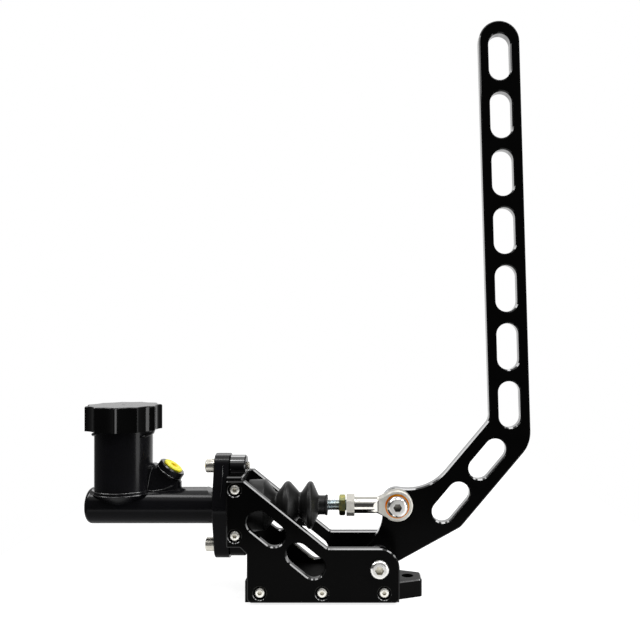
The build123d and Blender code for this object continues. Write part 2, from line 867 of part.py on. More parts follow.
def lever_corners():
    grip = (pivot_x + grip_top_x, pivot_height + grip_top_z)
    up = 90 + grip_lean
    half = grip_width / 2
    end = beside(grip, up, half)
    pivot = (pivot_x, pivot_height)
    ball = (ball_x, axis_z)
    arm = (pivot_x + arm_x, pivot_height + arm_z)
    outer_edge = beside(arm, arm_angle - 90, arm_width / 2)
    inner_edge = beside(arm, arm_angle + 90, arm_width / 2)
    foot_edge = beside(pivot, foot_angle - 90, pivot_boss_radius)

    span = hypot(ball[0] - pivot[0], ball[1] - pivot[1])
    from_pivot = pivot_boss_radius + boss_blend
    from_ball = ball_boss_radius + boss_blend
    lean = degrees(atan2(ball[1] - pivot[1], ball[0] - pivot[0]))
    opening = (from_pivot ** 2 + span ** 2 - from_ball ** 2) / (2 * from_pivot * span)
    blend = beside(pivot, lean + degrees(radians(90) - asin(opening)), from_pivot)
    pivot_angle = degrees(atan2(blend[1] - pivot[1], blend[0] - pivot[0]))
    ball_angle = degrees(atan2(blend[1] - ball[1], blend[0] - ball[0])) % 360
    blend_corner = crossing(beside(pivot, pivot_angle, pivot_boss_radius), pivot_angle + 90,
                            beside(ball, ball_angle, ball_boss_radius), ball_angle + 90)

    boss_top = beside(ball, arm_blend_angle, ball_boss_radius)
    return [
        (*beside(end, up + 90, half), half),
        (*beside(end, up - 90, half), half),
        (*crossing(beside(grip, up - 90, half), up, outer_edge, arm_angle), outer_bend),
        (*crossing(outer_edge, arm_angle, foot_edge, foot_angle), foot_bend),
        *boss_corners(pivot, pivot_boss_radius, foot_angle - 90, pivot_angle - 360, 2),
        (*blend_corner, boss_blend),
        *boss_corners(ball, ball_boss_radius, ball_angle, arm_blend_angle, 2),
        (*crossing(boss_top, arm_blend_angle - 90, inner_edge, arm_angle), arm_blend),
        (*crossing(beside(grip, up + 90, half), up, inner_edge, arm_angle), inner_bend),
    ]


def lever_slots():
    """The lightening slots of the grip and of the slanted arm."""
    slot = SlotOverall(slot_length, slot_width)
    grip = (pivot_x + grip_top_x, pivot_height + grip_top_z)
    faces = Sketch()
    for i in range(grip_slots):
        x, z = beside(grip, grip_lean - 90, grip_slot_first + i * grip_slot_pitch)
        faces += Pos(x, z) * Rot(0, 0, 90 + grip_lean) * slot
    for i in range(arm_slots):
        x, z = beside((pivot_x + arm_x, pivot_height + arm_z), arm_angle + 180, i * arm_slot_pitch)
        faces += Pos(x, z) * Rot(0, 0, arm_angle) * slot
    return faces


def hand_lever():
    face = outline(lever_corners()) - lever_slots()
    lever = chamfered_plate(slab(face, lever_near, lever_far), lever_edge)
    bush_radius = pivot_diameter / 2 + bush_wall
    lever -= across(rod_piece(bush_radius, lever_near - past, lever_far + past), pivot_x, pivot_height)
    hole = rod_piece(pivot_diameter / 2, lever_near - past, lever_far + past)
    return lever - across(hole, ball_x, axis_z)


def pivot_bush():
    ring = tube_piece(pivot_diameter / 2 + bush_wall, pivot_diameter / 2, lever_near, lever_far)
    return across(ring, pivot_x, pivot_height)


def pivot_spacer(start, end):
    ring = tube_piece(spacer_diameter / 2, pivot_diameter / 2 + face_gap, start, end)
    return across(ring, pivot_x, pivot_height)


def washer(start, x, z):
    ring = tube_piece(washer_diameter / 2, pivot_diameter / 2 + face_gap, start, start + washer_thickness)
    return across(ring, x, z)


def hex_nut(start, height, x, z):
    nut = hexagon_piece(nut_hex, start, start + height) & bevelled_round(nut_hex, start, start + height)
    return across(nut - rod_piece(shank_radius, start - past, start + height + past), x, z)


def pivot_bolt():
    length = 2 * plate_outer + washer_thickness + pivot_nut_height + bolt_tip
    bolt = button_screw(2 * shank_radius, button_head, button_head_height, length, bolt_hex)
    return Pos(pivot_x, -plate_outer, pivot_height) * Rot(0, 0, 90) * bolt


def rod_end_bolt():
    length = ball_width + lever_thickness + washer_thickness + lock_nut_height + bolt_tip / 2
    bolt = button_screw(2 * shank_radius, button_head, button_head_height, length, bolt_hex)
    return Pos(ball_x, -ball_width / 2, axis_z) * Rot(0, 0, 90) * bolt


Node["side_plate_near"] = side_plate(-1)
Node["side_plate_far"] = side_plate(1)
Node["plate_screws_near"] = plate_screws(-1)
Node["plate_screws_far"] = plate_screws(1)
Node["base_block"] = base_block()
Node["cylinder_mount_block"] = cylinder_mount_block()
Node["flange_bolts"] = flange_bolts()
Node["cylinder_body"] = cylinder_body()
Node["port_plug"] = port_plug()
Node["reservoir_cap"] = reservoir_cap()
Node["cap_seal"] = cap_seal()
Node["piston"] = piston()
Node["main_cup_seal"] = piston_seal(piston_front + front_land, cup_width)
Node["end_seal"] = piston_seal(piston_rear - rear_land - end_seal_width, end_seal_width)
Node["stop_washer"] = stop_washer()
Node["circlip"] = circlip()
Node["valve_stem"] = valve_stem()
Node["valve_seal"] = valve_seal()
Node["valve_spacer"] = valve_spacer()
Node["spring_retainer"] = spring_retainer()
Node["return_spring"] = return_spring()
Node["push_rod"] = push_rod()
Node["jam_nut"] = jam_nut()
Node["rod_end_body"] = rod_end_body()
Node["rod_end_liner"] = rod_end_liner()
Node["rod_end_ball"] = rod_end_ball()
Node["dust_boot"] = dust_boot()
Node["hand_lever"] = hand_lever()
Node["pivot_bush"] = pivot_bush()
Node["pivot_spacer_near"] = pivot_spacer(-plate_inner, lever_near - face_gap)
Node["pivot_spacer_far"] = pivot_spacer(lever_far + face_gap, plate_inner)
Node["pivot_bolt"] = pivot_bolt()
Node["pivot_washer"] = washer(plate_outer, pivot_x, pivot_height)
Node["pivot_nut"] = hex_nut(plate_outer + washer_thickness, pivot_nut_height, pivot_x, pivot_height)
Node["rod_end_bolt"] = rod_end_bolt()
Node["rod_end_washer"] = washer(lever_far, ball_x, axis_z)
Node["rod_end_nut"] = hex_nut(lever_far + washer_thickness, lock_nut_height, ball_x, axis_z)

os.makedirs("parts", exist_ok=True)
for name, shape in Node.items():
    solids = shape if isinstance(shape, list) else [shape]
    export_step(Compound(children=[s for piece in solids for s in piece.solids()]), f"parts/{name}.step")
    print(name, round(sum(piece.volume for piece in solids), 1))
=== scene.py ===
# %% [markdown]
# An upright hydraulic hand brake: a slotted lever between two side plates pushes a master
# cylinder that carries its own fluid reservoir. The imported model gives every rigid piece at
# its true size. This lesson gives those pieces their finishes, and builds what a plain solid
# leaves out: the folds of the rubber boot, the screw threads and the heads of the fasteners.
# The model is loaded first, because every later size is read from it.

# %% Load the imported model
from math import ceil, cos, pi, radians, sin, tan

import bmesh
import bpy
from mathutils import Matrix, Vector
from mathutils.bvhtree import BVHTree


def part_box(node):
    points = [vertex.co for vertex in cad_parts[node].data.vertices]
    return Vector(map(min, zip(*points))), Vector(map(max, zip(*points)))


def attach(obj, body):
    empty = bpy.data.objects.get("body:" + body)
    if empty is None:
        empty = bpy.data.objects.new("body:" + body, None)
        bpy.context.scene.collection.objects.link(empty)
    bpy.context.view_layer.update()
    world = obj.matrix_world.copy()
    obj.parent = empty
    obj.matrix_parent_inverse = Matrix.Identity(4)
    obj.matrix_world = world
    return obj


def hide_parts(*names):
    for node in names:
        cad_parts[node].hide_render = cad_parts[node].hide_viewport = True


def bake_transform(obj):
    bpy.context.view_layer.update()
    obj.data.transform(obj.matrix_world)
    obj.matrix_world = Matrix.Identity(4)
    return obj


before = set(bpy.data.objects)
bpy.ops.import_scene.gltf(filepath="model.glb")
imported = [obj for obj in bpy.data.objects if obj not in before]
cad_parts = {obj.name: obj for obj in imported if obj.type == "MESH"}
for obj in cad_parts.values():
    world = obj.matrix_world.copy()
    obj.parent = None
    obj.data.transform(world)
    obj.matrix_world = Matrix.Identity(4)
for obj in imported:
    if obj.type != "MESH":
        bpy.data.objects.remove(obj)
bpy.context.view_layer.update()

MM = 0.001
print("nodes:", len(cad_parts))

# %% [markdown]
# Four places serve the whole lesson: the axis of the bore, the axis of the reservoir, the
# pivot and the ball of the rod end. They are read from the boxes of the pieces that stand on
# them, so they move with the model if its sizes change. The lean of the outlet is written
# down as an angle, because a box can't tell it.

# %% Places on the object
def middle(node):
    """The centre of a node's box."""
    low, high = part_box(node)
    return (low + high) / 2


bore_z = middle("push_rod").z
reservoir_centre = middle("reservoir_cap")
pivot = middle("pivot_bolt")
ball = middle("rod_end_ball")
outlet_angle = 54.5
outlet_lean = Vector((cos(radians(outlet_angle)), 0, sin(radians(outlet_angle))))
print("bore axis at z =", round(bore_z, 4), "and reservoir axis at x =", round(reservoir_centre.x, 4))

# %% [markdown]
# The photograph was taken level, from the side on which the rod end sits. The two side
# plates are equal, and the far one looks smaller: that gives the distance, and where their
# edges meet gives the height of the lens and its place along the object. The lens isn't
# tilted, so upright edges stay upright, and a small shift frames the object as in the photo.

# %% Camera
image_width = 640
lens_pixels = 724.0
sensor_width = 36.0
eye = Vector((5.5, -527.0, 183.7)) * MM
vanishing_x = 360.0
vanishing_y = 340.0

lens = bpy.data.cameras.new("camera")
lens.sensor_width = sensor_width
lens.lens = sensor_width * lens_pixels / image_width
lens.shift_x = (image_width / 2 - vanishing_x) / image_width
lens.shift_y = (vanishing_y - image_width / 2) / image_width
lens.clip_start = 0.01
camera = bpy.data.objects.new("camera", lens)
camera.location = eye
camera.rotation_euler = (radians(90), 0, 0)
bpy.context.scene.collection.objects.link(camera)
bpy.context.scene.camera = camera
print("focal length", round(lens.lens, 1), "mm, shift", round(lens.shift_x, 4), round(lens.shift_y, 4))

# %% [markdown]
# A material is a graph of nodes. Written node by node it is long and hard to read, so one
# small class wraps a socket and lets Python's own signs add the Math nodes: 1 - mask is then
# a node too. A second class holds one material, and its single method "node" adds any other
# kind of node from its settings and its inputs. Lengths inside a finish are in millimetres,
# because grain, scratches and grooves are that small.

# %% Shader expressions
class Wire:
    """One value in a graph of nodes. Arithmetic on it adds Math nodes."""

    def __init__(self, finish, socket):
        self.finish = finish
        self.socket = socket

    def math(self, operation, *others):
        return self.finish.math(operation, self, *others)

    def __add__(self, other):
        return self.math("ADD", other)

    __radd__ = __add__

    def __sub__(self, other):
        return self.math("SUBTRACT", other)

    def __rsub__(self, other):
        return self.finish.math("SUBTRACT", other, self)

    def __mul__(self, other):
        return self.math("MULTIPLY", other)

    __rmul__ = __mul__


class Finish:
    """The nodes of a new material, or of a given tree, built from expressions."""

    def __init__(self, name, tree=None):
        if tree is None:
            self.material = bpy.data.materials.new(name)
            self.material.use_nodes = True
            tree = self.material.node_tree
        self.tree = tree
        self.tree.nodes.clear()

    def node(self, kind, settings=None, inputs=None, out=0):
        """Any node: its settings are set first, then its sockets, by value or by link."""
        made = self.tree.nodes.new(kind)
        for name, value in (settings or {}).items():
            setattr(made, name, value)
        sockets = {socket.identifier: socket for socket in made.inputs}
        for name, value in (inputs or {}).items():
            if isinstance(value, Wire):
                self.tree.links.new(value.socket, sockets[name])
            else:
                sockets[name].default_value = value
        return Wire(self, made.outputs[out]) if made.outputs else None

    def math(self, operation, *values):
        """A Math node on one or two numbers."""
        inputs = dict(zip(("Value", "Value_001"), values))
        return self.node("ShaderNodeMath", {"operation": operation}, inputs)

    def vector(self, operation, first, second=None, factor=None, out=0):
        """A Vector Math node on one or two vectors, or on a vector and a factor."""
        inputs = {"Vector": first}
        if second is not None:
            inputs["Vector_001"] = second
        if factor is not None:
            inputs["Scale"] = factor
        return self.node("ShaderNodeVectorMath", {"operation": operation}, inputs, out)

    def place(self):
        """Where a point of the surface is on its own piece, in millimetres."""
        spot = self.node("ShaderNodeTexCoord", out="Object")
        return self.vector("SCALE", spot, factor=1 / MM)

    def part(self, vector, axis):
        """One coordinate of a place or a direction."""
        return self.node("ShaderNodeSeparateXYZ", inputs={"Vector": vector}, out=axis)

    def facing(self, axis):
        """How far the surface faces along an axis, from -1 to 1."""
        return self.part(self.node("ShaderNodeTexCoord", out="Normal"), axis)

    def reach(self, place, centre, across):
        """How far a point is from a line through the centre; across is 0 along the line, else 1."""
        offset = self.vector("SUBTRACT", place, tuple(centre))
        return self.vector("LENGTH", self.vector("MULTIPLY", offset, across), out="Value")

    def ray(self, kind):
        """1 for a ray of that kind, such as Camera or Glossy, and 0 for any other."""
        return self.node("ShaderNodeLightPath", out=f"Is {kind} Ray")

    def noise(self, place, size, detail=2.0, roughness=0.5):
        """Cloudy noise from 0 to 1 with patches of about that size in millimetres."""
        inputs = {"Vector": place, "Scale": 1 / size, "Detail": detail, "Roughness": roughness}
        return self.node("ShaderNodeTexNoise", inputs=inputs, out=0)

    def stretched(self, place, along):
        """The place squeezed along the axes in which a pattern is to be long."""
        return self.vector("MULTIPLY", place, along)

    def step(self, value, start, end):
        """Rises smoothly from 0 to 1 as the value goes from start to end."""
        inputs = {"Value": value, "From Min": start, "From Max": end}
        return self.node("ShaderNodeMapRange", {"interpolation_type": "SMOOTHSTEP"}, inputs)

    def mix(self, mask, first, second):
        """A colour between two others."""
        inputs = {"Factor_Float": mask, "A_Color": first, "B_Color": second}
        return self.node("ShaderNodeMix", {"data_type": "RGBA"}, inputs, out=2)

    def relief(self, height, depth_mm):
        """A bump as deep as that in millimetres, for the Normal socket."""
        return self.node("ShaderNodeBump", inputs={"Height": height, "Distance": depth_mm * MM})

    def close(self, **sockets):
        """The surface itself. Spaces in the sockets' names are written as underscores."""
        inputs = {name.replace("_", " "): value for name, value in sockets.items()}
        surface = self.node("ShaderNodeBsdfPrincipled", inputs=inputs)
        self.node("ShaderNodeOutputMaterial", inputs={"Surface": surface})
        print("finish:", self.material.name, "with", len(self.tree.nodes), "nodes")
        return self.material


def grey(level, warmth=0.0):
    """A grey as a colour; a little warmth takes it towards yellow."""
    return (level, level * (1 - warmth / 3), level * (1 - warmth), 1.0)


# %% [markdown]
# The studio has a bright ceiling and a white backdrop, and is dim on both sides and in front.
# The round bars of the rod end show it, as a white band on top, a black one in the middle
# and the pale floor below. Black faces that look at the camera stay black, and bevels that
# are turned upwards catch the light. The camera, and any ray that is mirrored or passes
# through, sees the backdrop as white. The colour of the room only depends on the direction,
# so it is the same room from every side.

# %% Studio room
world = bpy.data.worlds.new("studio")
bpy.context.scene.world = world
world.use_nodes = True
room = Finish("studio", world.node_tree)
direction = room.node("ShaderNodeTexCoord", out="Generated")
across_room = room.part(direction, "Y")
dim_front = 0.06
dim_side = 0.12
ceiling_level = 0.65
behind = room.step(across_room, 0.62, 0.90)
sides = dim_front + (dim_side - dim_front) * room.step(across_room, -0.8, 0.0)
ceiling = ceiling_level * room.step(room.part(direction, "Z"), 0.52, 0.70)
lit = sides.math("MAXIMUM", behind).math("MAXIMUM", ceiling)
mirrored = room.ray("Glossy").math("MAXIMUM", room.ray("Transmission"))
backdrop = room.ray("Camera").math("MAXIMUM", behind * mirrored)
strength = lit.math("MAXIMUM", backdrop)
glow = room.node("ShaderNodeBackground", inputs={"Color": grey(1.0), "Strength": strength})
room.node("ShaderNodeOutputWorld", inputs={"Surface": glow})
bpy.context.scene.view_settings.view_transform = "Standard"
print("studio levels:", dim_front, "in front,", dim_side, "at the sides,", ceiling_level, "above")

# %% [markdown]
# The floor is pale and plain. Its own shading keeps the soft shadow of the object, and a
# little glow of its own lifts the rest to the white of the backdrop, for the camera and for
# mirrored rays alike, so no horizon shows.

# %% Floor
floor_left, floor_right, floor_front, floor_back = -0.30, 0.28, -0.20, 1.2
floor_tones = (grey(0.39), grey(0.43))
floor_glow = 0.82
floor_mesh = bpy.data.meshes.new("floor")
corners = [(floor_left, floor_front, 0), (floor_right, floor_front, 0),
           (floor_right, floor_back, 0), (floor_left, floor_back, 0)]
floor_mesh.from_pydata(corners, [], [(0, 1, 2, 3)])
floor = bpy.data.objects.new("floor", floor_mesh)
bpy.context.scene.collection.objects.link(floor)

pale = Finish("pale_floor")
shown = pale.ray("Camera")
for kind in ("Glossy", "Transmission"):
    shown = shown.math("MAXIMUM", pale.ray(kind))
fleck = pale.noise(pale.place(), 40.0)
shade = pale.node("ShaderNodeBsdfDiffuse", inputs={"Color": pale.mix(fleck, *floor_tones)})
lift = pale.node("ShaderNodeEmission", inputs={"Color": grey(1.0), "Strength": shown * floor_glow})
both = pale.node("ShaderNodeAddShader", inputs={"Shader": shade, "Shader_001": lift})
pale.node("ShaderNodeOutputMaterial", inputs={"Surface": both})
floor_mesh.materials.append(pale.material)
print("floor:", floor_right - floor_left, "m wide")

# %% [markdown]
# Soft lamps do the rest. The one overhead stands a little to the right and draws the white
# lines on the level bevels. Its neighbours at the upper right and upper left do it for the
# slanted ones. Two more over the cylinder give the tube its highlight and the thin line above
# it, and a tall panel at the right gives the upright bands on the reservoir and the cap.

# %% Lamps
def soft_lamp(name, place, size, power, aim):
    """A rectangular lamp that faces a point, with its place and size in metres."""
    light = bpy.data.lights.new(name, "AREA")
    light.shape = "RECTANGLE"
    light.size, light.size_y = size
    light.energy = power
    lamp = bpy.data.objects.new(name, light)
    lamp.location = place
    lamp.rotation_euler = (Vector(aim) - Vector(place)).to_track_quat("-Z", "Y").to_euler()
    bpy.context.scene.collection.objects.link(lamp)
    print("lamp:", name, power, "W")


at_lever = (-0.02, 0, 0.15)
at_cylinder = (-0.15, 0, 0.08)
soft_lamp("overhead", (0.20, -0.25, 1.35), (0.62, 0.36), 5.4, at_lever)
soft_lamp("upper_right", (0.76, -0.30, 0.92), (0.50, 0.34), 3.6, at_lever)
soft_lamp("upper_left", (-0.92, -0.14, 0.92), (0.30, 0.52), 3.4, at_lever)
soft_lamp("over_cylinder", (-0.48, -0.46, 1.20), (0.42, 0.26), 1.7, at_cylinder)
soft_lamp("behind_cylinder", (-0.42, 0.70, 1.12), (0.50, 0.58), 2.0, at_cylinder)
soft_lamp("right_panel", (1.00, -0.34, 0.18), (0.36, 0.9), 4.6, at_lever)

# %% [markdown]
# Black anodised aluminium is a hard, thin, dyed layer: very dark, even, and as smooth as the
# metal below it. The plates and the lever were tumbled and polished before dyeing, so the
# faces are glossy with a trace of grain. Their bevels and walls are brighter, and each is
# found by how far it faces sideways. Bevels that face up shine the most. The base block is
# smooth only where it comes out from between the plates, with a bright rim round the top of
# that tongue, and the cylinder's block is bright above the axis of the bore.

# %% Black anodised finish
waist_fade = 6.0
nose_fade = 4.0


def black_anodised(name, shiny, reflectance, shine, bevel_polish=1.0, wall_polish=1.0):
    """Dyed aluminium; shiny says where it is polished: edges, upper part or tongue rim."""
    finish = Finish(name)
    place = finish.place()
    cloud = finish.noise(place, 24.0, detail=3.0)
    grain = finish.noise(finish.stretched(place, (0.06, 1.0, 1.0)), 0.35, detail=3.0)
    pits = finish.step(finish.noise(place, 0.6, detail=1.0), 0.66, 0.74)
    tone = finish.mix(cloud, grey(0.0018), grey(0.0036, 0.05))
    gloss = 0.15 + 0.06 * cloud + 0.05 * grain + 0.10 * pits
    up = finish.facing("Z")
    upward = finish.step(up, 0.0, 0.40)
    if shiny == "edges":
        side = finish.facing("Y").math("ABSOLUTE")
        edge = 1 - finish.step(side, 0.80, 0.95)
        wall = 1 - finish.step(side, 0.30, 0.60)
        bevel = bevel_polish * (0.2 + 0.8 * upward)
        uneven = 0.8 + 0.2 * finish.noise(place, 5.0)
        polish = edge * (bevel + wall * (wall_polish - bevel)) * uneven
    elif shiny == "upper part":
        waist = bore_z / MM
        above = finish.step(finish.part(place, "Z"), waist - waist_fade, waist + waist_fade)
        polish = above * (0.8 + 0.2 * cloud) * (0.1 + 0.9 * upward)
    else:
        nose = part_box("side_plate_near")[1].x / MM
        bare = finish.step(finish.part(place, "X"), nose - nose_fade, nose)
        gloss = gloss + 0.45 * (1 - bare)
        polish = bare * finish.step(up, 0.30, 0.45) * (1 - finish.step(up, 0.85, 0.95))
    relief = finish.relief(0.6 * grain + 0.4 * finish.noise(place, 1.6), 0.0015)
    return finish.close(Base_Color=tone, Roughness=gloss, Coat_Weight=polish, Coat_Roughness=0.07,
                        Coat_IOR=shine, Specular_IOR_Level=reflectance, Normal=relief)


anodised_plate = black_anodised("anodised_plate", "edges", reflectance=0.03, shine=1.85,
                                bevel_polish=0.85, wall_polish=0.38)
anodised_block = black_anodised("anodised_block", "tongue rim", reflectance=0.05, shine=2.4)
anodised_lever = black_anodised("anodised_lever", "edges", reflectance=0.03, shine=3.4,
                                bevel_polish=0.35)
polished_block = black_anodised("polished_block", "upper part", reflectance=0.05, shine=2.8)

# %% [markdown]
# The cylinder is an aluminium casting under a baked black coat. The coat follows the sand's
# fine grain and pools a little in it, which gives a satin skin with soft, broad highlights.
# It lies thicker on the upper side, thinner on upright walls, and hardly on what faces down.
# The thin beads of the casting are rubbed bright.

# %% Coated casting
def coated_casting(name, walls, gloss_index):
    """Baked coat over a casting; walls is the coat's share on upright walls, from 0 to 1."""
    finish = Finish(name)
    place = finish.place()
    sand = finish.noise(place, 0.55, detail=3.0, roughness=0.6)
    swell = finish.noise(place, 6.0, detail=2.0)
    cloud = finish.noise(place, 18.0)
    runs = finish.noise(finish.stretched(place, (0.12, 0.12, 1.0)), 0.9)
    tone = finish.mix(cloud, grey(0.0050), (0.0074, 0.0072, 0.0094, 1.0))
    gloss = 0.16 + 0.05 * cloud + 0.07 * sand + 0.05 * runs
    height = 0.6 * sand + 0.2 * swell + 0.2 * runs
    up = finish.facing("Z")
    lacquer = walls * finish.step(up, -0.22, 0.02) + (1 - walls) * finish.step(up, 0.35, 0.85)
    return finish.close(Base_Color=tone, Roughness=gloss, Specular_IOR_Level=0.05, Coat_Weight=lacquer,
                        Coat_Roughness=0.14, Coat_IOR=gloss_index, Normal=finish.relief(height, 0.008))


casting = coated_casting("coated_casting", 0.21, 1.5)
rubbed_bead = coated_casting("rubbed_bead", 0.85, 2.35)

# %% [markdown]
# The cap is moulded in a glossy black plastic. Its top keeps the rings that the turning tool
# left in the mould, which fan the light out from the middle, so the height of the bump is a
# wave of the distance from the cap's own axis. A dull dot marks the middle. The fluted side
# is smooth.

# %% Moulded cap
tool_rings = 9.0
dot_radius = 0.7


def moulded_cap():
    """Glossy plastic with the rings of the tool on top; a wave has tool_rings radians per mm."""
    finish = Finish("moulded_cap")
    place = finish.place()
    reach = finish.reach(place, reservoir_centre / MM, (1, 1, 0))
    rings = (reach * tool_rings).math("SINE") * 0.5 + 0.5
    top = finish.step(finish.facing("Z"), 0.90, 0.98)
    cloud = finish.noise(place, 9.0, detail=3.0)
    tone = finish.mix(cloud, grey(0.0012), grey(0.0026))
    dot = top * (1 - finish.step(reach, dot_radius, dot_radius + 0.5))
    gloss = 0.07 + 0.03 * cloud + 0.14 * top + 0.6 * dot
    height = rings * top + 0.6 * finish.noise(place, 0.8)
    return finish.close(Base_Color=tone, Roughness=gloss, Specular_IOR_Level=0.28,
                        Normal=finish.relief(height, 0.006))


cap_black = moulded_cap()

# %% [markdown]
# The boot is soft rubber, dusted in the mould. It is a dark warm grey that spreads every
# highlight, with faint streaks that run from fold to fold and cloudy bloom. The dust is
# rubbed off on the side that faces up and on the folds that flex, so these shine a little.

# %% Rubber
flexing_start, flexing_end = -56.0, -40.0


def rubber(name, level):
    """Dusted rubber of a grey level, shinier from the start of the flexing part onwards."""
    finish = Finish(name)
    place = finish.place()
    streaks = finish.noise(finish.stretched(place, (0.05, 1.0, 1.0)), 1.3, detail=3.0)
    bloom = finish.step(finish.noise(place, 7.0, detail=3.0), 0.42, 0.72)
    grain = finish.noise(place, 0.25)
    tone = finish.mix(bloom, grey(level, 0.03), grey(level * 1.9, 0.04))
    gloss = 0.34 + 0.14 * bloom + 0.08 * streaks
    relief = finish.relief(0.5 * streaks + 0.3 * grain + 0.2 * bloom, 0.02)
    folds = finish.step(finish.part(place, "X"), flexing_start, flexing_end)
    flexed = finish.step(finish.facing("Z"), -0.3, 0.1).math("MAXIMUM", folds)
    return finish.close(Base_Color=tone, Roughness=gloss, Specular_IOR_Level=0.06, Normal=relief,
                        Coat_Weight=0.5 * flexed, Coat_Roughness=0.4)


boot_rubber = rubber("boot_rubber", 0.0056)
seal_rubber = rubber("seal_rubber", 0.006)

# %% [markdown]
# Bare and plated metals share one recipe and differ in colour, smoothness and grain. A metal
# has no colour of its own apart from its mirror, so the small marks are in its roughness:
# fine lines from turning or drawing, and a few dull patches from handling. The rod end is
# polished on its shank only, and its ground faces are duller and carry painted shade, darker
# where they face up. The two pivot screws show the rings of the lathe about their own axes,
# and their flat crowns are rough.

# %% Metals
def metal(name, colour, second, gloss, grain_along=(1.0, 1.0, 1.0), grain_depth=0.002, mottle=0.5,
          matt=0.0, polished=None, turned=None):
    """A metal: two shades of one colour, its lowest roughness, and how its grain runs.

    With polished, a span along X, the rest of the piece is ground: rougher by matt, and with
    painted shade that darkens it on top. With turned, the grain is the rings that a lathe
    leaves about that place.
    """
    finish = Finish(name)
    place = finish.place()
    patches = finish.noise(place, 3.5, detail=3.0)
    lines = finish.noise(finish.stretched(place, grain_along), 0.16, detail=2.0)
    tone = finish.mix(finish.step(patches, 0.5 - mottle / 2, 0.5 + mottle / 2), colour, second)
    rough = gloss + 0.10 * patches + 0.08 * lines
    if polished:
        along = finish.part(place, "X")
        start, end = polished
        shank = finish.step(along, start - 0.3, start + 0.1) * (1 - finish.step(along, end, end + 1))
        ground = 1 - shank
        rough = rough + matt * ground
        # Painted shade: where the ground part faces up, its colour is made darker.
        painted_shade_on_top = finish.step(finish.facing("Z"), 0.2, 0.8)
        tone = finish.vector("SCALE", tone, factor=1 - 0.36 * ground * painted_shade_on_top)
    if turned is not None:
        lines = (finish.reach(place, turned / MM, (1, 0, 1)) * tool_rings).math("SINE")
        crown = finish.step(finish.facing("Y").math("ABSOLUTE"), 0.86, 0.97)
        rough = rough + 0.42 * crown
    return finish.close(Base_Color=tone, Metallic=1.0, Roughness=rough,
                        Normal=finish.relief(lines, grain_depth))


def turned_steel(node):
    """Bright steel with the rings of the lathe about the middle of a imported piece."""
    return metal(f"turned_steel_{node}", (0.80, 0.79, 0.77, 1), (0.72, 0.71, 0.69, 1), 0.10,
                 turned=middle(node), grain_depth=0.007)


pivot_steel = turned_steel("pivot_bolt")
rod_end_steel = turned_steel("rod_end_ball")
stainless = metal("stainless", (0.60, 0.59, 0.56, 1), (0.50, 0.49, 0.46, 1), 0.10)
screw_steel = metal("screw_steel", (0.92, 0.91, 0.86, 1), (0.80, 0.78, 0.71, 1), 0.32)
# The two socket steels are painted shade: the inside of a socket is given a darker steel than its head.
dark_socket_shade = metal("dark_socket_shade", (0.20, 0.19, 0.17, 1), (0.12, 0.12, 0.11, 1), 0.32)
grey_socket_shade = metal("grey_socket_shade", (0.66, 0.63, 0.54, 1), (0.46, 0.43, 0.34, 1), 0.34)
zinc_plate = metal("zinc_plate", (0.62, 0.60, 0.54, 1), (0.48, 0.46, 0.41, 1), 0.16)
blue_zinc = metal("blue_zinc", (0.48, 0.57, 0.62, 1), (0.56, 0.58, 0.55, 1), 0.16)
yellow_zinc = metal("yellow_zinc", (0.66, 0.59, 0.20, 1), (0.36, 0.40, 0.20, 1), 0.20, mottle=0.3)
nickel = metal("nickel", (0.60, 0.58, 0.53, 1), (0.52, 0.50, 0.45, 1), 0.13)
hexagon_length = 5.8
flare_length = 14.0
hexagon_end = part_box("rod_end_body")[0].x / MM + hexagon_length
flare_start = ball.x / MM - flare_length
ground_nickel = metal("ground_nickel", (0.86, 0.84, 0.78, 1), (0.76, 0.74, 0.68, 1), 0.0, matt=0.44,
                      polished=(hexagon_end, flare_start))
bronze = metal("bronze", (1.0, 0.42, 0.02, 1), (1.0, 0.20, 0.0, 1), 0.34)
turned_aluminium = metal("turned_aluminium", (0.82, 0.82, 0.82, 1), (0.74, 0.74, 0.75, 1), 0.20,
                         grain_along=(1.0, 6.0, 1.0), grain_depth=0.004)
oiled_steel = metal("oiled_steel", (0.36, 0.36, 0.37, 1), (0.24, 0.24, 0.25, 1), 0.24)

# %% [markdown]
# The plug is soft yellow plastic. Light goes a little way into it, so its shaded side stays
# bright, and the moulded skin has a fine leathery grain. Its dished middle, close to the
# outlet's axis, is painted a deeper yellow than the rim: painted shade in the hollow.

# %% Yellow plastic
painted_shade_radius = 2.4


def yellow_plastic():
    """Waxy plastic with painted shade: a deeper yellow within painted_shade_radius of the outlet's axis.
    """
    finish = Finish("yellow_plastic")
    place = finish.place()
    cloud = finish.noise(place, 4.0, detail=2.0)
    offset = finish.vector("SUBTRACT", place, tuple(middle("port_plug") / MM))
    off_axis = finish.vector("CROSS_PRODUCT", offset, tuple(outlet_lean))
    rim = finish.step(finish.vector("LENGTH", off_axis, out="Value"), painted_shade_radius, painted_shade_radius + 1.0)
    tone = finish.mix(cloud, (0.95, 0.82, 0.01, 1), (0.97, 0.90, 0.03, 1))
    # Painted shade: the dished middle of the plug takes the deeper yellow.
    tone = finish.mix(rim, (0.93, 0.76, 0.0, 1), tone)
    return finish.close(Base_Color=tone, Roughness=0.38 + 0.12 * cloud, Subsurface_Weight=0.15,
                        Subsurface_Scale=0.002, Normal=finish.relief(finish.noise(place, 0.4), 0.008))


plug_yellow = yellow_plastic()

# %% [markdown]
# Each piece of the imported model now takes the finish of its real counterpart. The mesh is
# left as it is, only the material in its slots changes.

